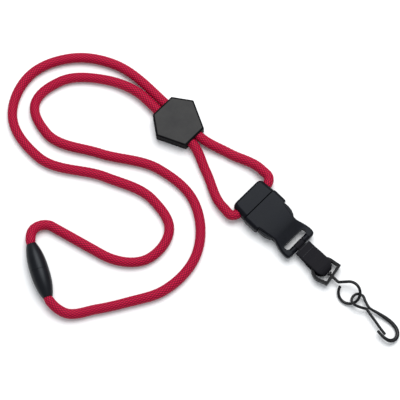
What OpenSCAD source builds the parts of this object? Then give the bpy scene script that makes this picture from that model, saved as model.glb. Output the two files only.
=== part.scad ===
// Round-cord neck lanyard: breakaway barrel, hexagonal slider, side-release buckle,
// webbing tab, swivel eye and spring hook. Millimetres, +Z up, lying on a table at z = 0.
// +X runs from the neck loop to the hook, +Y to the side.

/* [Cord] */
// Diameter of the round cord
cord_d = 6; // [5.6:0.1:6]

/* [Slider] */
// Thickness of the slider
slider_t = 8.6; // [8.2:0.2:10]
// Thickness of the inlaid face plate
plate_t = 1; // [0.6:0.1:1.1]

/* [Barrel] */
// Diameter of the breakaway barrel at its middle
barrel_d = 11.4; // [11:0.2:12]
// Length of the breakaway barrel
barrel_len = 33.8; // [33.4:0.2:34.6]

/* [Buckle] */
// Thickness of the buckle at its mouth
buckle_t = 9.6; // [9.4:0.2:10.4]

/* [Strap] */
// Width of the webbing tab
strap_w = 11; // [9:0.5:11]

/* [Swivel and hook] */
// Wire diameter of the swivel eye
eye_wire_d = 1.8; // [1.5:0.1:1.8]
// Wire diameter of the hook and its gate
hook_wire_d = 1.7; // [1.3:0.1:1.7]

/* [Hidden] */

$fn = 48;
cut = 0.01;           // how far a cutting shape runs past a face
fit = 0.1;            // radial running fit

cord_r = cord_d / 2;
cord_end_r = 2.5;     // where the cord is squeezed into the barrel
cord_grip_len = 9;    // length of cord inside each half of the barrel
cord_swell_len = 3;   // and the length in which it swells out again
cord_sides = 10;
ring_step = 16;       // longest stretch of cord between two rings

chain_y = 56;         // buckle, strap and swivel lie along this line

// slider
slider_x0 = -99;
slider_y = 58.5;
slider_len = 28;
channel_gap = 6.2;    // between the two strands
channel_r = cord_r + fit;
slider_z = slider_t / 2;
slider_outline = [[0, 8], [11, 15.8], [28, 7.8], [28, -7.8], [11, -15.8], [0, -8]];
slider_bevel = 0.6;
plate_inset = 0.9;

// barrel
barrel_at = [-78, -64];
barrel_turn = -atan(1 / 2);
barrel_z = barrel_d / 2;
barrel_end_r = 3;
barrel_half = barrel_len / 2;
barrel_parting = 0.2;
clamp_r = 3.05;
nose_len = 6;
nose_r = 4;

// buckle, with u along +X from the plug's end and v from its centre line
buckle_x0 = -25;
buckle_z = buckle_t / 2;
tunnel_u = 5;
tunnel_r = cord_r + 0.2;
plug_len = 10.4;
plug_end_w = 11.9;
plug_flare = 0.07;    // widening of each side per mm
socket_u0 = 10.7;
socket_len = 46;
collar_end_u = 20.4;
cavity_half_w = 11;
cavity_half_h = 3.3;
knuckle_at = [11.6, 8.7];
knuckle_r = 1.5;
arm_half_h = 2.7;
tongue_half_w = 2.8;
tongue_end_u = 31;
slot_u = [38.8, 42.2];
slot_half_w = 8.2;
slot_corner = 1.2;
bar_r = (socket_len - slot_u[1]) / 2;
bar_waist_r = 1.35;
bar_u = socket_len - bar_r;
bar_half_w = slot_half_w - slot_corner;

// strap
loop_r = bar_waist_r + fit;
tape_t = 0.5;
tape_w = 6.2;
strap_x0 = buckle_x0 + socket_len + 0.5;
strap_root_z = 6.2;   // top of the sewn end
tab_x1 = 29;
tab_half_h = 0.5;

// swivel and hook
swivel_z = 3.8;
frame_at = [46.1, 56];
frame_turn = 10;
frame_strip = 1.5;
frame_half_h = 2;
frame_r = 7.8;
frame_arc_at = [-5.6, 0.4];
frame_far = [8.2, -6.3];    // the far side's two corners
eye_r = 6.5;
eye_at = [60.2, 56];
eye_roll = 22;
eye_bend_r = 1.6;
eye_wire_r = eye_wire_d / 2;
hook_r = hook_wire_d / 2;
hook_pivot = [66.8, 56.2];
hook_z = 4;
hook_tilt = [-15, 3.5, 0];
gate_at = [74.2, 56.2];

// the cord's middle line, from the barrel's plug half round to its socket half
cord_route = [
    [-86, -60, barrel_z], [-94, -56, barrel_z], [-99, -49, 4.2], [-93, -40, cord_r],
    [-60, -31, cord_r], [-38, -12, cord_r], [-42, 8, cord_r], [-62, 14, cord_r],
    [-92, 4, cord_r], [-130, -16, cord_r], [-160, -9, cord_r],
    [-171, 15, cord_r], [-161, 42, cord_r], [-140, 57.5, cord_r],
    [-110, 61.6, slider_z], [-71, 61.6, slider_z], [-50, 67, cord_r], [-29, 73.1, 4.4],
    [-22, 72.2, buckle_z], [-20, 68.5, buckle_z], [-20, 43.5, buckle_z], [-21, 41, buckle_z],
    [-28.5, 40.3, 4.4], [-52, 49, cord_r], [-71, 55.4, slider_z], [-110, 55.4, slider_z],
    [-139, 45, cord_r], [-155, 27, cord_r], [-155, 5, cord_r], [-138, -2, cord_r],
    [-105, 12, cord_r], [-73, 30, cord_r], [-45, 31, cord_r], [-20, 9, cord_r],
    [-18, -20, cord_r], [-28, -40, cord_r], [-38, -56, cord_r], [-50, -71, 3.8],
    [-62, -72, barrel_z], [-70, -68, barrel_z]
];
cord_straights = [3, 14, 19, 24];    // points from which it runs straight to the next
cord_split = 34;      // the point where the last bend, which moves with the barrel, begins

// the hook's wire in its own plane, from the neck round the link loop to the nose
hook_route = [
    [74.2, 56.2], [71, 54.2], [67.4, 52.7], [64.7, 53], [63.4, 56], [64.3, 59.2], [67, 60.6],
    [70.6, 59.2], [74.4, 58], [80.3, 59.4], [86.2, 60.8], [91.4, 61.2], [95.2, 60.3],
    [97.6, 58], [98.2, 54.6], [96.6, 52], [94.2, 51], [91, 50.8], [88, 51]
];
gate_route = [[74.2, 56.2], [78, 55.3], [82.4, 54.5], [88, 53.4], [92, 52.8]];

function unit(v) = v / norm(v);

function holds(list, value) = len(search(value, list)) > 0;

// direction of travel at point i: along a straight, or weighted towards the nearer neighbour
function heading(p, i, straights = []) =
    let (last = len(p) - 1)
    i == 0 || holds(straights, i) ? unit(p[i + 1] - p[i]) :
    i == last || holds(straights, i - 1) ? unit(p[i] - p[i - 1]) :
    let (a = p[i] - p[i - 1], b = p[i + 1] - p[i])
    unit(unit(a) * norm(b) + unit(b) * norm(a));

function hermite(a, b, da, db, t) =
    a * (1 + 2 * t) * (1 - t) * (1 - t) + da * t * (1 - t) * (1 - t)
    + b * t * t * (3 - 2 * t) + db * t * t * (t - 1);

// a smooth line through the route's points, with a point at least every step
function smooth(p, step, straights = []) = [
    for (i = [0:len(p) - 2])
        let (
            span = norm(p[i + 1] - p[i]),
            n = ceil(span / step),
            da = heading(p, i, straights) * span,
            db = heading(p, i + 1, straights) * span
        )
        for (k = [0:n - 1]) hermite(p[i], p[i + 1], da, db, k / n),
    p[len(p) - 1]
];

function flat(p, z) = [for (q = p) [q[0], q[1], z]];

function circle_points(r, n, from = 0, to = 360) =
    [for (i = [0:n]) let (a = from + (to - from) * i / n) r * [cos(a), sin(a)]];

function shift(p, by) = [for (q = p) q + by];

function mirror_v(p) = [for (i = [len(p) - 1:-1:0]) [p[i][0], -p[i][1]]];

// both sides of an outline given from one end to the other on the +v side
function both_sides(p) = concat(p, mirror_v(p));

// one closed skin through rings of points that all have the same number
module loft(rings) {
    sides = len(rings[0]);
    end = (len(rings) - 1) * sides;
    walls = [
        for (i = [0:sides:end - sides])
            for (k = [0:sides - 1])
                let (a = i + k, b = i + (k + 1) % sides)
                each [[a, a + sides, b], [b, a + sides, b + sides]]
    ];
    caps = [
        [for (k = [0:sides - 1]) k],
        [for (k = [sides - 1:-1:0]) end + k]
    ];
    polyhedron(points = [for (ring = rings) each ring], faces = concat(walls, caps), convexity = 10);
}

// a tube along part of a line, with a radius for each point
module tube(line, radii, sides, from = 0, to = 0) {
    loft([
        for (i = [from:to > 0 ? to : len(line) - 1])
            let (
                t = heading(line, i),
                side = unit(cross([0, 0, 1], t)),
                up = cross(t, side)
            )
            [
                for (k = [0:sides - 1])
                    let (a = 360 * (k + 0.5) / sides)
                    line[i] + radii[i] * (cos(a) * side + sin(a) * up)
            ]
    ]);
}

// a cross-section of the buckle at u: a rectangle with round corners
function section(u, half_w, half_h, corner) = [
    for (quarter = [[1, 1], [-1, 1], [-1, -1], [1, -1]])
        let (start = quarter[0] * quarter[1] > 0 ? 0 : 90, turn = quarter[1] > 0 ? 0 : 180)
        for (a = [0:15:90])
            [
                u,
                quarter[0] * (half_w - corner) + corner * cos(a + start + turn),
                quarter[1] * (half_h - corner) + corner * sin(a + start + turn)
            ]
];

// radius of the cord at each ring: squeezed towards both ends, which the barrel holds
function cord_radii(line) = [
    for (q = line)
        let (away = min(norm(q - line[0]), norm(q - line[len(line) - 1])))
        cord_end_r + (cord_r - cord_end_r) * min(1, max(0, (away - cord_grip_len) / cord_swell_len))
];

// the cord's line never sinks into the table
cord_line = [
    for (q = smooth(cord_route, ring_step, cord_straights)) [q[0], q[1], max(q[2], cord_r)]
];
cord_split_ring = len(smooth([for (i = [0:cord_split]) cord_route[i]], ring_step)) - 1;

module in_barrel() {
    translate([barrel_at[0], barrel_at[1], barrel_z])
        rotate([0, 0, barrel_turn])
            children();
}

module on_x_axis() {
    rotate([0, 90, 0])
        children();
}

module in_buckle() {
    translate([buckle_x0, chain_y, buckle_z])
        children();
}

module in_hook() {
    translate([hook_pivot[0], hook_pivot[1], hook_z])
        rotate(hook_tilt)
            translate([-hook_pivot[0], -hook_pivot[1], 0])
                children();
}

module cord_main() {
    color("crimson")
        tube(cord_line, cord_radii(cord_line), cord_sides, to = cord_split_ring);
}

module cord_tail() {
    color("crimson")
        tube(cord_line, cord_radii(cord_line), cord_sides, from = cord_split_ring);
}

// the torpedo's radius at a distance along the barrel from its middle
function barrel_r(x) = barrel_d / 2 - (barrel_d / 2 - barrel_end_r) * pow(x / barrel_half, 2.5);

// one half shell, with its mating face at the parting and its cord hole at barrel_half
module barrel_shell(bore_r, bore_len) {
    face = barrel_parting / 2;
    hole_r = cord_end_r + fit;
    chamber_r = clamp_r + fit;
    chamber_end = barrel_half - 3;
    outer = [for (i = [0:8]) let (x = face + (barrel_half - face) * i / 8) [barrel_r(x), x]];
    inner = [
        [hole_r, barrel_half], [hole_r, chamber_end], [chamber_r, chamber_end],
        [chamber_r, bore_len], [bore_r, bore_len], [bore_r, face]
    ];
    on_x_axis()
        rotate_extrude($fn = 64)
            polygon(concat(outer, inner));
}

module barrel_nose() {
    tip = 0.6;
    wall = [
        [clamp_r + fit, -1], [nose_r, -1], [nose_r, nose_len - tip],
        [nose_r - tip / 2, nose_len], [clamp_r + fit, nose_len]
    ];
    on_x_axis()
        rotate_extrude($fn = 64)
            polygon(wall);
}

module barrel_plug() {
    color("black")
        in_barrel() {
            rotate([0, 0, 180])
                barrel_shell(clamp_r + fit, 1);
            barrel_nose();
        }
}

module barrel_socket() {
    color("black")
        in_barrel()
            barrel_shell(nose_r + fit, nose_len + 1);
}

// crimped sleeve that keeps the cord's end inside one half of the barrel
module cord_clamp(side) {
    sleeve_len = 5;
    color("silver")
        in_barrel()
            rotate([0, 0, side])
                translate([barrel_half - 3.2 - sleeve_len, 0, 0])
                    on_x_axis()
                        difference() {
                            cylinder(r = clamp_r, h = sleeve_len);
                            translate([0, 0, -1])
                                cylinder(r = cord_end_r + 0.02, h = sleeve_len + 2);
                        }
}

module cord_clamp_plug() {
    cord_clamp(180);
}

module cord_clamp_socket() {
    cord_clamp(0);
}

// the slider's outline drawn in by a distance, keeping its middle
module slider_slab(inset, z0, z1) {
    grow = 1 - 2 * inset / slider_len;
    translate([slider_x0 + slider_len / 2, slider_y, z0])
        linear_extrude(height = z1 - z0)
            polygon([for (q = slider_outline) grow * (q - [slider_len / 2, 0])]);
}

module slider_channels() {
    for (side = [-1, 1])
        translate([slider_x0 - 1, slider_y + side * channel_gap / 2, slider_z])
            on_x_axis()
                cylinder(r = channel_r, h = slider_len + 2);
    translate([slider_x0 - 1, slider_y - channel_gap / 2, slider_z - channel_r])
        cube([slider_len + 2, channel_gap, 2 * channel_r]);
}

module slider_body() {
    color("black")
        difference() {
            hull() {
                slider_slab(slider_bevel, 0, slider_t);
                slider_slab(0, slider_bevel, slider_t - slider_bevel);
            }
            slider_channels();
            slider_slab(plate_inset, slider_t - plate_t, slider_t + 1);
        }
}

module slider_face_plate() {
    color("dimgray")
        slider_slab(plate_inset + 0.05, slider_t - plate_t, slider_t);
}

// how far a face has rounded in at a distance from its end
function round_in(u, r) = u < r ? r - sqrt(r * r - (r - u) * (r - u)) : 0;

module plug_block() {
    loft([
        for (u = [0, 0.15, 0.5, 1, 1.6, 2.6, plug_len])
            let (half_h = buckle_z - round_in(u, 1.6))
            section(u, plug_end_w + u * plug_flare - round_in(u, 2.6), half_h, 0.62 * half_h)
    ]);
}

module buckle_plug() {
    step_end = plug_len + 2.2;
    groove_half_w = 0.9;
    color("black")
        in_buckle()
            difference() {
                union() {
                    plug_block();
                    translate([plug_len - 1, -10.6, -3.1])
                        cube([step_end - plug_len + 1, 21.2, 6.2]);
                    translate([step_end - 1, -tongue_half_w, -2.2])
                        cube([tongue_end_u - step_end + 1, 2 * tongue_half_w, 4.4]);
                }
                translate([tunnel_u, -15, 0])
                    rotate([-90, 0, 0])
                        cylinder(r = tunnel_r, h = 30);
                for (side = [-1, 1])
                    translate([knuckle_at[0], side * knuckle_at[1], -4])
                        cylinder(r = knuckle_r + fit / 2, h = 8);
                for (side = [-1, 1])
                    translate([step_end, -groove_half_w, side > 0 ? 1.2 : -3.2])
                        cube([tongue_end_u, 2 * groove_half_w, 2]);
            }
}

// one sprung arm, drawn on the +v side from its knuckle to its leaf-shaped tip
arm_outline = [
    [0.6, 0.7], [8.6, 1.1], [9.1, 1.1], [9.1, 2.8], [12, 3], [15, 2.6], [17.5, 1.5], [19.2, 0.2],
    [19.5, -0.5], [18.6, -1.1], [15.5, -1.6], [12.5, -1], [10, -0.4], [8, -0.4], [0.6, -0.7]
];

module buckle_arm(side) {
    color("black")
        in_buckle()
            translate([knuckle_at[0], side * knuckle_at[1], -arm_half_h]) {
                cylinder(r = knuckle_r, h = 2 * arm_half_h);
                linear_extrude(height = 2 * arm_half_h)
                    polygon([for (q = arm_outline) [q[0], side * q[1]]]);
            }
}

module buckle_arm_left() {
    buckle_arm(1);
}

module buckle_arm_right() {
    buckle_arm(-1);
}

// the socket's sections: place along u, half width, half height and corner radius
socket_sections = [
    [socket_u0, 12.6, 4.2, 2.2], [11, 12.9, 4.5, 2.4], [12, 13.1, 4.5, 2.4], [19.6, 13.1, 4.5, 2.4],
    [collar_end_u, 12.6, 4.5, 2.2], [collar_end_u + 0.1, 10.8, 4.5, 0.9], [23, 10.4, 4.4, 0.9],
    [25, 10.05, 4.3, 0.9], [27, 9.7, 4.2, 0.9], [29, 9.3, 4, 0.9], [31, 9.1, 3.8, 0.9],
    [32, 9.1, 3.6, 1.1], [33, 9.2, 3.5, 1.3], [34.5, 9.7, 3.2, 1.4], [36, 10.2, 2.9, 1.4],
    [37.5, 10.7, 2.6, 1.4], [39, 11.1, 2.4, 1.4], [41, 11.4, 2.3, 1.4], [43, 11.5, 2.3, 1.4],
    [44.6, 11.3, 2.3, 1.4], [45.4, 10.8, 2.2, 1.3], [45.8, 10.2, 2, 1.2], [socket_len, 9.4, 1.7, 1]
];

// the webbing slot, with round corners
module socket_slot() {
    length = slot_u[1] - slot_u[0];
    for (u = [slot_u[0] + slot_corner, slot_u[1] - slot_corner])
        for (side = [-1, 1])
            translate([u, side * bar_half_w, -buckle_z])
                cylinder(r = slot_corner, h = buckle_t);
    translate([slot_u[0], -bar_half_w, -buckle_z])
        cube([length, 2 * bar_half_w, buckle_t]);
    translate([slot_u[0] + slot_corner, -slot_half_w, -buckle_z])
        cube([length - 2 * slot_corner, 2 * slot_half_w, buckle_t]);
}

// the bar beyond the slot, waisted where the tape goes round it
module socket_bar() {
    waist_half_w = tape_w / 2 + 0.3;
    translate([bar_u, 0, 0])
        rotate([90, 0, 0]) {
            cylinder(r = bar_waist_r, h = 2 * bar_half_w, center = true);
            for (side = [-1, 1])
                translate([0, 0, side * (waist_half_w + bar_half_w + 0.2) / 2])
                    cylinder(r = bar_r, h = bar_half_w + 0.2 - waist_half_w, center = true);
        }
}

module buckle_socket() {
    color("black")
        in_buckle() {
            socket_bar();
            difference() {
                loft([for (q = socket_sections) section(q[0], q[1], q[2] + buckle_z - 4.8, q[3])]);
                translate([socket_u0 - 1, -cavity_half_w, -cavity_half_h])
                    cube([31.2 - socket_u0 + 1, 2 * cavity_half_w, 2 * cavity_half_h]);
                translate([31, -7.4, -2.6])
                    cube([2, 14.8, 5.2]);
                socket_slot();
                translate([slot_u[1] - cut, -bar_half_w, -buckle_z])
                    cube([2 * bar_r + 1, 2 * bar_half_w, buckle_t]);
            }
        }
}

// narrow tape round the socket's end bar, with a tab held between the strap's layers
module strap_loop() {
    bar = [buckle_x0 + bar_u, chain_y + tape_w / 2, buckle_z];
    color("black")
        difference() {
            union() {
                translate(bar)
                    rotate([90, 0, 0])
                        cylinder(r = loop_r + tape_t, h = tape_w);
                translate([bar[0], chain_y - tape_w / 2, buckle_z - tab_half_h])
                    cube([tab_x1 - bar[0], tape_w, 2 * tab_half_h]);
            }
            translate(bar + [0, 1, 0])
                rotate([90, 0, 0])
                    cylinder(r = loop_r, h = tape_w + 2);
        }
}

// side views of the strap, as (x, z): its upper and lower face and the space inside its loop
strap_upper = [
    [strap_x0, strap_root_z], [27, strap_root_z], [28.6, 6.6], [30.6, 7.3], [33, 7.6], [39, 7.6],
    [41, 7], [42.6, 5.6], [43.2, 3.8]
];
strap_lower = [
    [42.6, 2], [41, 0.6], [39, 0], [33, 0], [31, 0.2], [29, 1.2], [27, 2.6], [strap_x0, 3.3]
];
strap_cavity = [
    [30.2, 3.8], [30.5, 5.9], [31.4, 6.5], [39, 6.5], [40.6, 5.9], [42, 3.8],
    [40.6, 1.7], [39, 1.1], [31.4, 1.1], [30.5, 1.7]
];

module strap_prism(profile, width) {
    translate([0, chain_y + width / 2, 0])
        rotate([90, 0, 0])
            linear_extrude(height = width)
                polygon(profile);
}

module strap_webbing() {
    tip_x = 43.2;
    half_w = strap_w / 2;
    round_r = 5;
    plan = concat(
        [[strap_x0 - 1, half_w]],
        shift(circle_points(round_r, 8, 90, 0), [tip_x - round_r, half_w - round_r])
    );
    color("black")
        difference() {
            intersection() {
                strap_prism(concat(strap_upper, strap_lower), strap_w);
                translate([0, chain_y, -1])
                    linear_extrude(height = 12)
                        polygon(both_sides(plan));
            }
            strap_prism(strap_cavity, strap_w + 2);
            translate([strap_x0 - 1, chain_y - tape_w / 2, buckle_z - tab_half_h])
                cube([tab_x1 - strap_x0 + 1, tape_w, 2 * tab_half_h]);
        }
}

// two rows of thread across the strap, each stitch its own solid on the top face
module strap_stitching() {
    stitch = [0.35, 1.2, 0.3];
    count = 6;
    pitch = (strap_w - 2) / count;
    color("dimgray")
        for (x = [strap_x0 + 0.5, 26])
            for (i = [0:count - 1])
                translate([x, chain_y + (i + 0.5 - count / 2) * pitch - stitch[1] / 2, strap_root_z + cut])
                    cube(stitch);
}

module frame_outline(grow) {
    far = frame_strip / 2 + grow;
    polygon(concat(
        [[far, frame_far[1] - grow], [far, frame_far[0] + grow]],
        shift(circle_points(frame_r + grow, 24, 90, 270), frame_arc_at)
    ));
}

module swivel_frame() {
    color("black")
        difference() {
            translate([frame_at[0], frame_at[1], swivel_z - frame_half_h])
                rotate([0, 0, frame_turn])
                    linear_extrude(height = 2 * frame_half_h)
                        difference() {
                            frame_outline(0);
                            frame_outline(-frame_strip);
                        }
            translate([frame_at[0] - 2, chain_y, swivel_z])
                on_x_axis()
                    cylinder(r = eye_wire_r + fit, h = 4);
        }
}

// the eye's middle line in its own plane: a bend off the shank, a straight, and most of a ring
function eye_line(start_x, lead) =
    let (
        reach = eye_at[0] - start_x,
        back = eye_bend_r * tan(lead / 2),
        bend = shift(circle_points(eye_bend_r, 5, -90, lead - 90), [start_x - back, eye_bend_r]),
        ring = shift(circle_points(eye_r, 36, 90 + lead, -170), [eye_at[0], 0])
    )
    concat([[start_x - back - 2, 0], [start_x - back - 1, 0]], bend, ring);

// the shank is a true cylinder through the frame, and the eye is bent on from its end
module swivel_eye() {
    head_x = 43.6;
    head_len = 1.1;
    start_x = eye_at[0] - 8.9;
    lead = asin(eye_r / (eye_at[0] - start_x));
    line = flat(eye_line(start_x, lead), 0);
    color("black")
        translate([0, chain_y, swivel_z])
            rotate([eye_roll, 0, 0]) {
                translate([head_x, 0, 0])
                    on_x_axis()
                        cylinder(r = 1.6, h = head_len);
                translate([head_x + 0.5, 0, 0])
                    on_x_axis()
                        cylinder(r = eye_wire_r, h = line[1][0] - head_x - 0.5);
                tube(line, [for (q = line) eye_wire_r - cut], 12);
            }
}

// how far the hook's wire is pressed wider at a point: not at all by the neck, fully at the nose
function pressed(q) = min(1, max(0, (q[0] - 78) / 8)) * (q[1] > 55 ? 1 : max(0, (q[0] - 90) / 8));

module hook_wire() {
    line = smooth(flat(hook_route, 0), 2);
    radii = [for (q = line) hook_r * (1 + 0.45 * pressed(q))];
    color("black")
        in_hook()
            difference() {
                tube(line, radii, 12);
                translate([gate_at[0], gate_at[1], -2])
                    cylinder(r = hook_r + 0.05, h = 4);
            }
}

module hook_gate() {
    line = smooth(flat(gate_route, 0), 4);
    color("black")
        in_hook() {
            tube(line, [for (q = line) hook_r], 12);
            translate([gate_at[0], gate_at[1], -hook_r])
                cylinder(r = hook_r, h = hook_wire_d);
        }
}

cord_main();
cord_tail();
barrel_plug();
barrel_socket();
cord_clamp_plug();
cord_clamp_socket();
slider_body();
slider_face_plate();
buckle_plug();
buckle_arm_left();
buckle_arm_right();
buckle_socket();
strap_loop();
strap_webbing();
strap_stitching();
swivel_frame();
swivel_eye();
hook_wire();
hook_gate();
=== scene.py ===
"""Looks of the round-cord neck lanyard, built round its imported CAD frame. Metres, +Z up."""

import math

import bmesh
import bpy
import numpy as np
from mathutils import Matrix, Vector


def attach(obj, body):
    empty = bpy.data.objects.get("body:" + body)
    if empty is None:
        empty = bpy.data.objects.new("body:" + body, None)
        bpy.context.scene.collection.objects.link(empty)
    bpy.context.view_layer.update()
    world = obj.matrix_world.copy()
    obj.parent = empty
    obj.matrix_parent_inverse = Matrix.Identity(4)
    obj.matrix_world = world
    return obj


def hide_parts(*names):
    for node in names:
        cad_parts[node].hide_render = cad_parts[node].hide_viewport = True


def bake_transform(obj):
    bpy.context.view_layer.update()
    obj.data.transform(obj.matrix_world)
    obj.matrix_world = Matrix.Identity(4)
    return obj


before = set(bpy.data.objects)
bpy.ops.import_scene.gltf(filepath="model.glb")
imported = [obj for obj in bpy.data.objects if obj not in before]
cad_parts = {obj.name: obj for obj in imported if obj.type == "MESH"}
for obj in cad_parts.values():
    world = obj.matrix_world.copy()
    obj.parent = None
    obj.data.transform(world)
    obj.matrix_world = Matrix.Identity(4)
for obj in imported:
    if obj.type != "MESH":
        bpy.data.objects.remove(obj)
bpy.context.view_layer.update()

MM = 0.001

# the camera looks down at the table across the lanyard
CAMERA_AZIMUTH = 45
CAMERA_ELEVATION = 75
CAMERA_DISTANCE = 1.0
CAMERA_FIELD = 0.24  # width of the view at the target
CAMERA_TARGET = (-0.0426, 0.0345, 0)

# the key light stands beyond the picture's upper edge, a little to its right
KEY_AZIMUTH = 120
KEY_ELEVATION = 64
KEY_DISTANCE = 1.2
KEY_SIZE = 1.0
KEY_POWER = 14.5
ROOM_COLOUR = (0.92, 0.96, 1, 1)
ROOM_STRENGTH = 0.6

CORD_D = 0.006
CORD_R = CORD_D / 2
CORD_END_R = 0.0025  # where it is squeezed into the barrel

# heights of the middles of the three mouldings that the cord runs through
SLIDER_Z = 0.0043
BUCKLE_Z = 0.0048
BARREL_Z = 0.0057

# the cord's middle line, from its end in the barrel's plug half to the one in the socket half
CORD_ROUTE = [
    (-0.086, -0.060, BARREL_Z), (-0.094, -0.056, BARREL_Z), (-0.099, -0.049, 0.0042),
    (-0.093, -0.040, CORD_R), (-0.060, -0.031, CORD_R), (-0.038, -0.012, CORD_R),
    (-0.042, 0.008, CORD_R), (-0.062, 0.014, CORD_R), (-0.092, 0.004, CORD_R),
    (-0.130, -0.016, CORD_R), (-0.160, -0.009, CORD_R), (-0.171, 0.015, CORD_R),
    (-0.161, 0.042, CORD_R), (-0.140, 0.0575, CORD_R), (-0.110, 0.0616, SLIDER_Z),
    (-0.071, 0.0616, SLIDER_Z), (-0.050, 0.067, CORD_R), (-0.029, 0.0731, 0.0044),
    (-0.022, 0.0722, BUCKLE_Z), (-0.020, 0.0685, BUCKLE_Z), (-0.020, 0.0435, BUCKLE_Z),
    (-0.021, 0.041, BUCKLE_Z), (-0.0285, 0.0403, 0.0044), (-0.052, 0.049, CORD_R),
    (-0.071, 0.0554, SLIDER_Z), (-0.110, 0.0554, SLIDER_Z), (-0.139, 0.045, CORD_R),
    (-0.155, 0.027, CORD_R), (-0.155, 0.005, CORD_R), (-0.138, -0.002, CORD_R),
    (-0.105, 0.012, CORD_R), (-0.073, 0.030, CORD_R), (-0.045, 0.031, CORD_R),
    (-0.020, 0.009, CORD_R), (-0.018, -0.020, CORD_R), (-0.028, -0.040, CORD_R),
    (-0.038, -0.056, CORD_R), (-0.050, -0.071, 0.0038), (-0.062, -0.072, BARREL_Z),
    (-0.070, -0.068, BARREL_Z),
]
CORD_STRAIGHTS = (3, 14, 19, 24)  # points from which it runs straight to the next
CORD_SPLIT = CORD_ROUTE[34]  # where the tail begins to bend after the barrel


# --- lines and meshes ----------------------------------------------------------------------

BEVEL_SEGMENTS = 3
BEVEL_SHARPER_THAN = 28  # degrees


def unit(v):
    return v / np.linalg.norm(v)


def heading(p, i, straights):
    """Direction of travel at point i: along a straight, or nearer the shorter side's."""
    if i == 0 or i in straights:
        return unit(p[i + 1] - p[i])
    if i == len(p) - 1 or i - 1 in straights:
        return unit(p[i] - p[i - 1])
    a, b = p[i] - p[i - 1], p[i + 1] - p[i]
    return unit(unit(a) * np.linalg.norm(b) + unit(b) * np.linalg.norm(a))


def smooth(route, straights=(), per_span=40):
    """The smooth line through a route's points, as the CAD draws it, finely divided."""
    p = np.array(route, float)
    t = np.linspace(0, 1, per_span, endpoint=False)[:, None]
    line = []
    for i in range(len(p) - 1):
        span = np.linalg.norm(p[i + 1] - p[i])
        da, db = heading(p, i, straights) * span, heading(p, i + 1, straights) * span
        line.append(
            p[i] * (1 + 2 * t) * (1 - t) ** 2
            + da * t * (1 - t) ** 2
            + p[i + 1] * t * t * (3 - 2 * t)
            + db * t * t * (t - 1)
        )
    return np.vstack([*line, p[-1:]])


def lengths(line):
    return np.r_[0, np.cumsum(np.linalg.norm(np.diff(line, axis=0), axis=1))]


def resample(line, step):
    """Points evenly spaced along the line, about a step apart, and their distances along it."""
    s = lengths(line)
    even = np.linspace(0, s[-1], max(2, round(s[-1] / step) + 1))
    return np.stack([np.interp(even, s, line[:, k]) for k in range(3)], axis=1), even


def cross_frames(line):
    """Two directions across the line at each of its points, the second one upwards."""
    t = np.gradient(line, axis=0)
    t /= np.linalg.norm(t, axis=1)[:, None]
    side = np.cross([0, 0, 1], t)
    side /= np.linalg.norm(side, axis=1)[:, None]
    return side, np.cross(t, side)


def tube(line, r, side, up, around):
    """Rings of points round a line, r away from it."""
    angle = 2 * math.pi * np.arange(around) / around
    return (
        line[:, None, :]
        + (r * np.cos(angle))[..., None] * side[:, None, :]
        + (r * np.sin(angle))[..., None] * up[:, None, :]
    )


def add_mesh(name, points, faces, material, smooth_faces=True):
    mesh = bpy.data.meshes.new(name)
    mesh.from_pydata(np.asarray(points).tolist(), [], [list(map(int, f)) for f in faces])
    mesh.materials.append(material)
    mesh.polygons.foreach_set("use_smooth", [smooth_faces] * len(mesh.polygons))
    mesh.update()
    obj = bpy.data.objects.new(name, mesh)
    bpy.context.scene.collection.objects.link(obj)
    return obj


def set_painted_gap_shade(obj, values):
    """How deep in the weave each point lies, from 0 in a gap to 1 on a crown; the colour darkens
    with it as painted shade in the gaps.
    """
    painted_gap_shade = obj.data.attributes.new("painted_gap_shade", "FLOAT", "POINT")
    painted_gap_shade.data.foreach_set("value", np.asarray(values, np.float32).ravel())


def bevelled(obj, width):
    """Rounds the sharp edges of a mesh, and keeps the shading of its flat faces flat."""
    bevel = obj.modifiers.new("bevel", "BEVEL")
    bevel.width = width
    bevel.segments = BEVEL_SEGMENTS
    bevel.limit_method = "ANGLE"
    bevel.angle_limit = math.radians(BEVEL_SHARPER_THAN)
    normals = obj.modifiers.new("normals", "WEIGHTED_NORMAL")
    normals.keep_sharp = True


def skin(rings, around, closed_ends=True):
    """Faces of a tube whose rings of points follow each other."""
    i = np.arange(rings - 1)[:, None] * around
    k = np.arange(around)[None, :]
    a, b = i + k, i + (k + 1) % around
    faces = np.stack([a, b, b + around, a + around], axis=-1).reshape(-1, 4).tolist()
    if closed_ends:
        faces.append(list(range(around))[::-1])
        faces.append(list(range((rings - 1) * around, rings * around)))
    return faces


# --- materials -----------------------------------------------------------------------------

PLASTIC_SHINIER, PLASTIC_DULLER = 0.06, 0.1  # how far wear takes the roughness each way
PLASTIC_TINT = (0.86, 0.93, 1, 1)  # black mouldings reflect a little blue
FIBRE_SHARE = 0.5  # of the filaments in the colour, beside the painted shade of the weave's gaps


def new_material(name):
    """An empty material: its node tree, its main shader, and a function that adds a node."""
    material = bpy.data.materials.new(name)
    material.use_nodes = True
    tree = material.node_tree
    shader = tree.nodes["Principled BSDF"]

    def add(kind, **settings):
        node = tree.nodes.new(kind)
        for key, value in settings.items():
            if key in node.inputs:
                node.inputs[key].default_value = value
            else:
                setattr(node, key, value)
        return node

    return material, tree.links.new, shader, add


def ramp(add, link, source, low, high, stops=(0.35, 0.65)):
    """A colour between two, following a value."""
    node = add("ShaderNodeValToRGB")
    for element, at, colour in zip(node.color_ramp.elements, stops, (low, high)):
        element.position = at
        element.color = (*colour, 1)
    link(source, node.inputs["Fac"])
    return node.outputs["Color"]


def bumped(add, link, shader, height, strength, distance):
    """Relief too fine to model."""
    node = add("ShaderNodeBump", Strength=strength, Distance=distance)
    link(height, node.inputs["Height"])
    link(node.outputs["Normal"], shader.inputs["Normal"])


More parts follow.
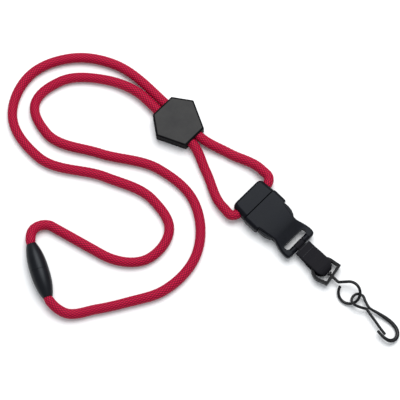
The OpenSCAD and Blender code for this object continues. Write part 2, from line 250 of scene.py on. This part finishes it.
def moulded_plastic(name, low, high, roughness, specular):
    """Satin moulding: fine spark-eroded grain, with faint handling wear in its gloss."""
    material, link, shader, add = new_material(name)
    where = add("ShaderNodeTexCoord").outputs["Object"]
    grain = add("ShaderNodeTexNoise", Scale=2600, Detail=3)
    wear = add("ShaderNodeTexNoise", Scale=110, Detail=6, Roughness=0.65)
    for node in (grain, wear):
        link(where, node.inputs["Vector"])
    link(ramp(add, link, wear.outputs["Fac"], low, high), shader.inputs["Base Color"])
    gloss = add("ShaderNodeMapRange")
    gloss.inputs["To Min"].default_value = roughness - PLASTIC_SHINIER
    gloss.inputs["To Max"].default_value = roughness + PLASTIC_DULLER
    link(wear.outputs["Fac"], gloss.inputs["Value"])
    link(gloss.outputs["Result"], shader.inputs["Roughness"])
    shader.inputs["Specular IOR Level"].default_value = specular
    shader.inputs["Specular Tint"].default_value = PLASTIC_TINT
    bumped(add, link, shader, grain.outputs["Fac"], strength=0.25, distance=0.00005)
    return material


def finished_metal(name, low, high, metallic, roughness, specular):
    """Wire, strip and sleeve: satin, with patches where handling has rubbed it lighter."""
    material, link, shader, add = new_material(name)
    where = add("ShaderNodeTexCoord").outputs["Object"]
    wear = add("ShaderNodeTexNoise", Scale=420, Detail=8, Roughness=0.7)
    link(where, wear.inputs["Vector"])
    rubbed = ramp(add, link, wear.outputs["Fac"], low, high, stops=(0.5, 0.85))
    link(rubbed, shader.inputs["Base Color"])
    shader.inputs["Metallic"].default_value = metallic
    shader.inputs["Roughness"].default_value = roughness
    shader.inputs["Specular IOR Level"].default_value = specular
    bumped(add, link, shader, wear.outputs["Fac"], strength=0.2, distance=0.00004)
    return material


def yarn_fabric(name, low, high, specular, roughness, filaments):
    """Twisted yarn: colour darkens into the weave's gaps as painted shade, with fine filaments
    across each yarn.
    """
    material, link, shader, add = new_material(name)
    painted_gap_shade = add("ShaderNodeAttribute", attribute_name="painted_gap_shade")
    where = add("ShaderNodeTexCoord").outputs["Object"]
    fibre = add("ShaderNodeTexNoise", Scale=filaments, Detail=4, Roughness=0.7)
    link(where, fibre.inputs["Vector"])
    mixed = add("ShaderNodeMath", operation="MULTIPLY_ADD")
    link(fibre.outputs["Fac"], mixed.inputs[0])
    mixed.inputs[1].default_value = FIBRE_SHARE
    link(painted_gap_shade.outputs["Fac"], mixed.inputs[2])
    # towards the low colour in the weave's gaps as painted shade; the filaments add random tone
    # of their own
    colour = ramp(add, link, mixed.outputs[0], low, high, stops=(0.25, 1))
    link(colour, shader.inputs["Base Color"])
    shader.inputs["Roughness"].default_value = roughness
    shader.inputs["Specular IOR Level"].default_value = specular
    bumped(add, link, shader, fibre.outputs["Fac"], strength=0.35, distance=0.0001)
    return material


# low colours: painted shade in the weave's gaps; high colours: each yarn's own colour on its
# crowns
RED_CORD = yarn_fabric(
    "red_cord", low=(0.09, 0.0008, 0.012), high=(0.58, 0.007, 0.05),
    specular=0.1, roughness=0.55, filaments=2400,
)
BLACK_WEBBING = yarn_fabric(
    "black_webbing", low=(0.001, 0.001, 0.0015), high=(0.0095, 0.0088, 0.0125),
    specular=0.15, roughness=0.7, filaments=3000,
)
BLACK_THREAD = yarn_fabric(
    "black_thread", low=(0.006, 0.006, 0.008), high=(0.03, 0.03, 0.034),
    specular=0.3, roughness=0.6, filaments=4000,
)
BLACK_PLASTIC = moulded_plastic(
    "black_plastic", low=(0.0025, 0.0025, 0.004), high=(0.0045, 0.0045, 0.007),
    roughness=0.36, specular=0.1,
)
SLIDER_PLASTIC = moulded_plastic(
    "slider_plastic", low=(0.004, 0.004, 0.005), high=(0.008, 0.008, 0.009),
    roughness=0.5, specular=0.02,
)
BARREL_PLASTIC = moulded_plastic(
    "barrel_plastic", low=(0.002, 0.002, 0.0032), high=(0.004, 0.004, 0.006),
    roughness=0.36, specular=0.22,
)
CHARCOAL_PLASTIC = moulded_plastic(
    "charcoal_plastic", low=(0.026, 0.024, 0.023), high=(0.038, 0.036, 0.034),
    roughness=0.45, specular=0.12,
)
BLACK_METAL = finished_metal(
    "black_metal", low=(0.005, 0.005, 0.006), high=(0.02, 0.02, 0.022),
    metallic=0, roughness=0.3, specular=0.22,
)
BLACK_STRIP = finished_metal(
    "black_strip", low=(0.003, 0.003, 0.004), high=(0.014, 0.014, 0.016),
    metallic=0, roughness=0.42, specular=0.1,
)
CLAMP_METAL = finished_metal(
    "clamp_metal", low=(0.35, 0.35, 0.34), high=(0.6, 0.6, 0.58),
    metallic=1, roughness=0.35, specular=0.5,
)


# --- camera --------------------------------------------------------------------------------


def make_camera():
    a, e = math.radians(CAMERA_AZIMUTH), math.radians(CAMERA_ELEVATION)
    back = Vector((math.sin(a) * math.cos(e), -math.cos(a) * math.cos(e), math.sin(e)))
    data = bpy.data.cameras.new("camera")
    data.lens = data.sensor_width * CAMERA_DISTANCE / CAMERA_FIELD
    data.clip_start, data.clip_end = 0.05, 20
    camera = bpy.data.objects.new("camera", data)
    camera.location = Vector(CAMERA_TARGET) + back * CAMERA_DISTANCE
    camera.rotation_mode = "QUATERNION"
    camera.rotation_quaternion = (-back).to_track_quat("-Z", "Y")
    bpy.context.scene.collection.objects.link(camera)
    bpy.context.scene.camera = camera


# --- cord ----------------------------------------------------------------------------------

BRAID_STRANDS = 12  # each way round the cord
BRAID_CELL = 0.0013  # from one row of crossings to the next, along the cord
BRAID_RELIEF = 0.0002
BRAID_MEAN = 0.6  # of the braid's height, from gap to crown
CORD_GRIP = 0.0075  # squeezed length at each end, to just inside the barrel's mouth
CORD_SWELL = 0.003  # and the length in which it swells out again
CORD_SLACK = 0.00008  # brings the crowns of the braid down to the cord's diameter
CORD_AROUND = 96
CORD_STEP = 0.00022


def cord_radius(s, total):
    """Radius along the whole cord: squeezed at both ends, and a little uneven between them."""
    from_end = np.minimum(s, total - s)
    grown = np.clip((from_end - CORD_GRIP) / CORD_SWELL, 0, 1)
    grown = grown * grown * (3 - 2 * grown)
    uneven = 0.00005 * np.sin(s / 0.021) + 0.00004 * np.sin(s / 0.0083 + 1)
    return CORD_END_R + (CORD_R - CORD_SLACK - CORD_END_R + uneven) * grown


def braid_height(s, angle):
    """Height of the braid from 0 in a gap to 1 on a crown. Two sets of strands cross."""
    around = BRAID_STRANDS * angle / (2 * math.pi)
    u = around + s / BRAID_CELL / 2
    v = around - s / BRAID_CELL / 2
    over = (np.floor(u) + np.floor(v)) % 2
    across_u = np.abs(np.sin(math.pi * u))
    across_v = np.abs(np.sin(math.pi * v))
    upper, lower = np.where(over > 0.5, (across_u, across_v), (across_v, across_u))
    return upper**0.9 * (0.5 + 0.5 * lower)


def braided_cord(name, node, line, s, side, up, total):
    """One stretch of the braided cord, with its strands standing out of its surface."""
    angle = 2 * math.pi * np.arange(CORD_AROUND) / CORD_AROUND
    height = braid_height(s[:, None], angle[None, :])
    r = cord_radius(s, total)[:, None] + BRAID_RELIEF * (height - BRAID_MEAN)
    rings = tube(line, r, side, up, CORD_AROUND)
    obj = add_mesh(name, rings.reshape(-1, 3), skin(len(line), CORD_AROUND), RED_CORD)
    # the braid's gaps are painted darker than its crowns, as shade
    set_painted_gap_shade(obj, height**2)
    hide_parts(node)
    return obj


def make_cords():
    line = smooth(CORD_ROUTE, CORD_STRAIGHTS)
    line[:, 2] = np.maximum(line[:, 2], CORD_R)
    line, s = resample(line, CORD_STEP)
    whole = (line, s, *cross_frames(line))
    split = np.linalg.norm(line - CORD_SPLIT, axis=1).argmin()
    total = s[-1]

    first = slice(0, split + 1)
    stretch = [values[first] for values in whole]
    main = braided_cord("cord_main_braid", "cord_main", *stretch, total)
    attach(main, "neck_cord")

    rest = slice(split, len(line))
    stretch = [values[rest] for values in whole]
    tail = braided_cord("cord_tail_braid", "cord_tail", *stretch, total)
    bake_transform(tail)
    print("cord lengths in metres:", round(s[split], 4), round(total - s[split], 4))


# --- barrel --------------------------------------------------------------------------------

BARREL_AT = Vector((-0.078, -0.064, BARREL_Z))
BARREL_TURN = -math.atan(0.5)
BARREL_HALF = 0.0169
BARREL_MID_R = 0.0057
BARREL_END_R = 0.003
BARREL_AROUND = 96


def turned(name, profile, around, material, place, edge=0.00018):
    """A solid of revolution about X from a closed outline of (x, radius)."""
    angle = 2 * math.pi * np.arange(around) / around
    outline = np.array(profile)
    points = np.stack(
        [
            np.repeat(outline[:, :1], around, axis=1),
            outline[:, 1:] * np.cos(angle),
            outline[:, 1:] * np.sin(angle),
        ],
        axis=-1,
    )
    faces = skin(len(outline), around, closed_ends=False)
    last = (len(outline) - 1) * around
    for k in range(around):
        faces.append([last + k, last + (k + 1) % around, (k + 1) % around, k])
    obj = add_mesh(name, points.reshape(-1, 3), faces, material)
    bevelled(obj, edge)
    obj.matrix_world = place
    return obj


def barrel_place(turn):
    """Where a half of the barrel goes; the plug half is drawn the other way round."""
    return Matrix.Translation(BARREL_AT) @ Matrix.Rotation(BARREL_TURN + turn, 4, "Z")


def barrel_outer(parting_x):
    """The torpedo's outline from its parting to its narrow end."""
    x = np.linspace(parting_x, BARREL_HALF, 26)
    r = BARREL_MID_R - (BARREL_MID_R - BARREL_END_R) * (x / BARREL_HALF) ** 2.5
    return list(zip(x, r))


def make_barrel():
    """Two halves that meet at a fine parting line, the plug's nose inside the socket's bore."""
    parting_x, edge = 0.00004, 0.00005
    hole_r, chamber_r, chamber_x = 0.0026, 0.00315, BARREL_HALF - 0.003
    bore_r, bore_x = 0.0041, 0.007
    nose_r, nose_x, chamfer_r, chamfer_x = 0.004, 0.006, 0.0003, 0.0006
    mouth = [(BARREL_HALF, hole_r), (chamber_x, hole_r), (chamber_x, chamber_r)]
    bore = [(bore_x, chamber_r), (bore_x, bore_r), (parting_x, bore_r)]
    nose = [
        (-nose_x, chamber_r), (-nose_x, nose_r - chamfer_r), (-nose_x + chamfer_x, nose_r),
        (parting_x, nose_r),
    ]
    for name, inside, turn, node, body in (
        ("barrel_socket_half", bore, 0, "barrel_socket", "barrel_release_half"),
        ("barrel_plug_half", nose, math.pi, "barrel_plug", "neck_cord"),
    ):
        profile = barrel_outer(parting_x) + mouth + inside
        obj = turned(name, profile, BARREL_AROUND, BARREL_PLASTIC, barrel_place(turn), edge)
        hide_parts(node)
        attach(obj, body)


def make_clamps():
    """Crimped sleeves on the cord's ends: a thin sleeve with two pressed grooves."""
    length, from_mouth, outer_r, inner_r = 0.005, 0.0082, 0.00305, 0.00252
    pitch, groove_depth, groove_w = 0.0025, 0.00012, 0.0003
    x = np.linspace(0, length, 31) + BARREL_HALF - from_mouth
    off_middle = (x - x[0]) % pitch - pitch / 2
    grooves = groove_depth * np.exp(-(off_middle / groove_w) ** 2)
    profile = [*zip(x, outer_r - grooves), (x[-1], inner_r), (x[0], inner_r)]
    for turn, node, body in (
        (math.pi, "cord_clamp_plug", "neck_cord"),
        (0, "cord_clamp_socket", "barrel_release_half"),
    ):
        sleeve = turned(node + "_sleeve", profile, 64, CLAMP_METAL, barrel_place(turn))
        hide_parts(node)
        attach(sleeve, body)


# --- moulded pieces ------------------------------------------------------------------------

WELD = 0.000002  # joins points nearer than this
FLAT_WITHIN = 1  # degrees


def softened(node, body, material, width):
    """The moulded piece of a CAD node, with its edges rounded as a mould leaves them."""
    source = bpy.data.objects[node]
    obj = bpy.data.objects.new(node + "_moulding", source.data.copy())
    bpy.context.scene.collection.objects.link(obj)
    obj.matrix_world = source.matrix_world.copy()
    work = bmesh.new()
    work.from_mesh(obj.data)
    bmesh.ops.remove_doubles(work, verts=work.verts, dist=WELD)
    bmesh.ops.dissolve_limit(
        work, angle_limit=math.radians(FLAT_WITHIN), verts=work.verts, edges=work.edges
    )
    work.to_mesh(obj.data)
    work.free()
    obj.data.materials.clear()
    obj.data.materials.append(material)
    obj.data.polygons.foreach_set("use_smooth", [True] * len(obj.data.polygons))
    bevelled(obj, width)
    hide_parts(node)
    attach(obj, body)


def make_mouldings():
    softened("slider_body", "slider", SLIDER_PLASTIC, 0.0004)
    for node, body, width in (
        ("buckle_plug", "plug", 0.00035),
        ("buckle_arm_left", "arm_left", 0.0003),
        ("buckle_arm_right", "arm_right", 0.0003),
        ("buckle_socket", "socket", 0.0004),
    ):
        softened(node, body, BLACK_PLASTIC, width)
    softened("slider_face_plate", "slider", CHARCOAL_PLASTIC, 0.0002)
    softened("swivel_frame", "frame", BLACK_STRIP, 0.0002)


# --- webbing -------------------------------------------------------------------------------

CHAIN_Y = 0.056  # buckle, strap and swivel lie along this line
STRAP_W = 0.011
STRAP_T = 0.0011
# X and Z in millimetres, round the frame from the webbing's upper end to its lower one
STRAP_ROUTE = [
    (21.7, 5.65), (27.2, 5.65), (30.6, 6.75), (33, 7.05), (39, 7.05), (41, 6.4), (42.4, 4.9),
    (42.65, 3.8), (42.4, 2.7), (41, 1.2), (39, 0.55), (33, 0.55), (30.6, 0.85), (27.2, 3.3),
    (21.7, 3.85),
]
TAPE_W = 0.0062
TAPE_T = 0.0006
TAPE_LOOP_AT = (0.0191, BUCKLE_Z)  # the socket's end bar
TAPE_LOOP_R = 0.0017
WEAVE_MEAN = 0.7  # of the weave's height, from gap to crown


def ribbon(name, node, line, half_widths, thickness, ribs, picks, relief):
    """A woven tape along a line in the XZ plane: ribs run along it and picks cross it."""
    across = 8 * ribs + 1
    t = np.gradient(line, axis=0)
    t /= np.linalg.norm(t, axis=1)[:, None]
    normal = np.stack([-t[:, 1], t[:, 0]], axis=1)
    s = lengths(line)
    v = np.linspace(-1, 1, across)
    rib = np.abs(np.cos(math.pi * ribs * v))[None, :] ** 0.6
    pick = np.sin(math.pi * (s[:, None] / picks + np.floor(ribs * v + 0.5)[None, :]))
    height = rib * (0.7 + 0.3 * pick)
    edge = np.sqrt(np.clip(1 - np.abs(v) ** 16, 0.02, 1))[None, :]
    half = thickness / 2 * edge + relief * (height - WEAVE_MEAN)
    y = half_widths[:, None] * v[None, :]
    layers = []
    for way, order in ((1, slice(None)), (-1, slice(None, None, -1))):
        x = line[:, 0:1] + way * half * normal[:, 0:1]
        z = line[:, 1:2] + way * half * normal[:, 1:2]
        layers.append(np.stack([x, CHAIN_Y + y, z], axis=-1)[:, order])
    ring = np.concatenate(layers, axis=1)
    around = ring.shape[1]
    obj = add_mesh(name, ring.reshape(-1, 3), skin(len(line), around), BLACK_WEBBING)
    # the weave's gaps are painted darker than its crowns, as shade
    set_painted_gap_shade(obj, np.concatenate([height, height[:, ::-1]], axis=1))
    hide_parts(node)
    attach(obj, "strap")
    return obj, s[-1]


def rounded_line(points, step, radius):
    """A line through corner points with its corners rounded, as points about a step apart."""
    p = np.array(points, float)
    line = [p[0]]
    for a, b, c in zip(p, p[1:], p[2:]):
        cut = min(radius, 0.45 * np.linalg.norm(b - a), 0.45 * np.linalg.norm(c - b))
        start, end = b - unit(b - a) * cut, b + unit(c - b) * cut
        for t in np.linspace(0, 1, 9):
            line.append(start * (1 - t) ** 2 + 2 * b * t * (1 - t) + end * t * t)
    line.append(p[-1])
    line = np.array(line)
    s = lengths(line)
    even = np.linspace(0, s[-1], round(s[-1] / step))
    return np.stack([np.interp(even, s, line[:, k]) for k in range(2)], axis=1)


def make_strap():
    """One length of webbing folded round the frame, its ends sewn over the tape's."""
    line = rounded_line(np.array(STRAP_ROUTE) * MM, step=0.00025, radius=0.002)
    tip_x, round_r = 0.0432, 0.005
    past = np.clip((line[:, 0] - (tip_x - round_r)) / round_r, 0, 0.97)
    half_widths = STRAP_W / 2 - round_r * (1 - np.sqrt(1 - past**2))
    webbing, length = ribbon(
        "strap_weave", "strap_webbing", line, half_widths, STRAP_T,
        ribs=11, picks=0.0009, relief=0.0001,
    )
    print("strap length in metres:", round(length, 4))


def make_tape():
    """The narrow tape round the socket's end bar, with both its ends inside the strap."""
    turn = np.radians(np.linspace(12, 348, 90))
    x, z = TAPE_LOOP_AT
    loop = np.stack([x + TAPE_LOOP_R * np.cos(turn), z + TAPE_LOOP_R * np.sin(turn)], axis=1)
    upper_end = np.array([(29.0, 5.05), (24.0, 5.1)]) * MM
    lower_end = np.array([(24.0, 4.5), (29.0, 4.55)]) * MM
    line = rounded_line(np.vstack([upper_end, loop, lower_end]), step=0.0002, radius=0.0004)
    ribbon(
        "strap_tape", "strap_loop", line, np.full(len(line), TAPE_W / 2), TAPE_T,
        ribs=7, picks=0.0008, relief=0.00007,
    )


def make_stitching():
    """Thread across the strap: each stitch a short arched tube that dips into the webbing."""
    rows, count, margin, half = (0.0222, 0.0262), 6, 0.001, 0.0007
    thread_r, top_z, dip = 0.0002, 0.00635, 0.0003
    steps, around = 13, 12
    pitch = (STRAP_W - 2 * margin) / count
    t = np.linspace(-1, 1, steps)
    r = (thread_r * np.sqrt(1 - 0.8 * t**4))[:, None]
    points, faces = [], []
    for x in rows:
        for i in range(count):
            y = CHAIN_Y + (i + 0.5 - count / 2) * pitch
            line = np.stack([np.full(steps, x), y + half * t, top_z - dip * t**4], axis=1)
            base = len(points) * steps * around
            points.append(tube(line, r, *cross_frames(line), around).reshape(-1, 3))
            faces += [[base + k for k in f] for f in skin(steps, around)]
    obj = add_mesh("strap_thread", np.vstack(points), faces, BLACK_THREAD)
    set_painted_gap_shade(obj, [0.6] * len(obj.data.vertices))
    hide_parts("strap_stitching")
    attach(obj, "strap")


# --- swivel and hook -----------------------------------------------------------------------

WIRE_STEP = 0.0003

SWIVEL_Z = 0.0038
EYE_R = 0.0065
EYE_AT_X = 0.0602
EYE_ROLL = math.radians(22)
# X and radius in millimetres
RIVET_OUTLINE = [(43.6, 0.1), (43.6, 1.2), (43.8, 1.6), (44.5, 1.6), (44.7, 1.45), (44.7, 0.1)]

# both wires are a hair thinner than the CAD's, whose flat-sided wires clear each other
EYE_WIRE_R = 0.00088
HOOK_R = 0.00083

HOOK_PIVOT = (0.0668, 0.0562)
HOOK_Z = 0.004
HOOK_TILT = (math.radians(-15), math.radians(3.5))  # about X, then about Y

# routes in the hook's own plane, X and Y in millimetres
HOOK_ROUTE = [
    (74.2, 56.2), (71, 54.2), (67.4, 52.7), (64.7, 53), (63.4, 56), (64.3, 59.2), (67, 60.6),
    (70.6, 59.2), (74.4, 58), (80.3, 59.4), (86.2, 60.8), (91.4, 61.2), (95.2, 60.3),
    (97.6, 58), (98.2, 54.6), (96.6, 52), (94.2, 51), (91, 50.8), (88, 51),
]
GATE_ROUTE = [(74.2, 56.2), (78, 55.3), (82.4, 54.5), (88, 53.4), (92, 52.8)]


def wire(name, line, radii, material, squash=None, around=28):
    """Round wire along a line, with domed ends. squash scales its height, ring by ring."""
    side, up = cross_frames(line)
    ahead = np.cross(side, up)
    slopes = np.radians([80, 60, 40, 20])
    flat = np.ones(len(line)) if squash is None else squash
    rings = list(zip(line, radii, side, up, flat))

    def dome(end, away):
        p, r, a, b, f = rings[end]
        out = away * ahead[end] * r / 2
        return [(p + out * math.sin(d), r * math.cos(d), a, b, f) for d in slopes]

    rings = dome(0, -1) + rings + dome(-1, 1)[::-1]
    angle = 2 * math.pi * np.arange(around) / around
    points = np.array([
        p + r * (np.cos(angle)[:, None] * a + f * np.sin(angle)[:, None] * b)
        for p, r, a, b, f in rings
    ])
    return add_mesh(name, points.reshape(-1, 3), skin(len(points), around), material)


def in_hook_plane():
    """Tilts the hook's flat drawing about its pivot into the plane that it rests in."""
    roll = Matrix.Rotation(HOOK_TILT[0], 4, "X")
    pitch = Matrix.Rotation(HOOK_TILT[1], 4, "Y")
    at = Matrix.Translation((HOOK_PIVOT[0], HOOK_PIVOT[1], HOOK_Z))
    return at @ pitch @ roll @ Matrix.Translation((-HOOK_PIVOT[0], -HOOK_PIVOT[1], 0))


def plane_line(route):
    line = smooth([(x * MM, y * MM, 0) for x, y in route])
    return resample(line, WIRE_STEP)[0]


def make_hook():
    """The hook's wire, pressed wider and flatter along its back and nose, and the gate leg."""
    line = plane_line(HOOK_ROUTE)
    x, y = line[:, 0] / MM, line[:, 1] / MM
    pressed = np.clip((x - 78) / 8, 0, 1) * np.where(y > 55, 1, np.clip((x - 90) / 8, 0, 1))
    radii = HOOK_R * (1 + 0.45 * pressed)
    hook = wire("hook_bent_wire", line, radii, BLACK_METAL, squash=1 - 0.25 * pressed)
    line = plane_line(GATE_ROUTE)
    gate = wire("hook_gate_leg", line, np.full(len(line), HOOK_R), BLACK_METAL)
    for obj, node, body in ((hook, "hook_wire", "hook"), (gate, "hook_gate", "gate")):
        obj.matrix_world = in_hook_plane()
        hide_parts(node)
        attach(obj, body)


def make_eye():
    """The swivel's wire: rivet head, shank, a bend, a straight and most of a ring."""
    bend_r, shank_x, corner_x = 0.0016, 0.0438, EYE_AT_X - 0.0089
    lead = math.asin(EYE_R / (EYE_AT_X - corner_x))
    back = bend_r * math.tan(lead / 2)
    bend = np.linspace(-math.pi / 2, lead - math.pi / 2, 10)
    turn = np.linspace(math.pi / 2 + lead, math.radians(-170), 120)
    bend_x = corner_x - back
    line = [(shank_x, 0, 0), (bend_x - 0.0004, 0, 0)]
    line += [(bend_x + bend_r * math.cos(a), bend_r * (1 + math.sin(a)), 0) for a in bend]
    line += [(EYE_AT_X + EYE_R * math.cos(a), EYE_R * math.sin(a), 0) for a in turn]
    line = resample(np.array(line), WIRE_STEP)[0]
    eye = wire("swivel_wire", line, np.full(len(line), EYE_WIRE_R), BLACK_METAL)
    place = Matrix.Translation((0, CHAIN_Y, SWIVEL_Z)) @ Matrix.Rotation(EYE_ROLL, 4, "X")
    rivet = turned("swivel_rivet", np.array(RIVET_OUTLINE) * MM, 40, BLACK_METAL, place)
    eye.matrix_world = place
    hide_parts("swivel_eye")
    for obj in (eye, rivet):
        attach(obj, "eye")


# --- stage ---------------------------------------------------------------------------------


def make_stage():
    material, _, shader, _ = new_material("floor")
    shader.inputs["Base Color"].default_value = (0.95, 0.95, 0.95, 1)
    shader.inputs["Roughness"].default_value = 0.9
    half = 3
    corners = [(-half, -half, 0), (half, -half, 0), (half, half, 0), (-half, half, 0)]
    floor = add_mesh("floor", corners, [(0, 1, 2, 3)], material, smooth_faces=False)


def make_light():
    """A bright plain room, and one soft light from beyond the picture's upper edge."""
    elevation = math.radians(KEY_ELEVATION)
    azimuth = math.radians(KEY_AZIMUTH)
    towards = Vector((
        math.cos(azimuth) * math.cos(elevation),
        math.sin(azimuth) * math.cos(elevation),
        math.sin(elevation),
    ))
    data = bpy.data.lights.new("key", "AREA")
    data.shape = "DISK"
    data.size = KEY_SIZE
    data.energy = KEY_POWER
    key = bpy.data.objects.new("key", data)
    key.location = Vector(CAMERA_TARGET) + towards * KEY_DISTANCE
    key.rotation_mode = "QUATERNION"
    key.rotation_quaternion = (-towards).to_track_quat("-Z", "Y")
    bpy.context.scene.collection.objects.link(key)

    world = bpy.data.worlds.new("room")
    world.use_nodes = True
    background = world.node_tree.nodes["Background"]
    background.inputs["Color"].default_value = ROOM_COLOUR
    background.inputs["Strength"].default_value = ROOM_STRENGTH
    bpy.context.scene.world = world
    bpy.context.scene.view_settings.view_transform = "Standard"


make_camera()
make_cords()
make_barrel()
make_clamps()
make_mouldings()
make_strap()
make_tape()
make_stitching()
make_hook()
make_eye()
make_stage()
make_light()
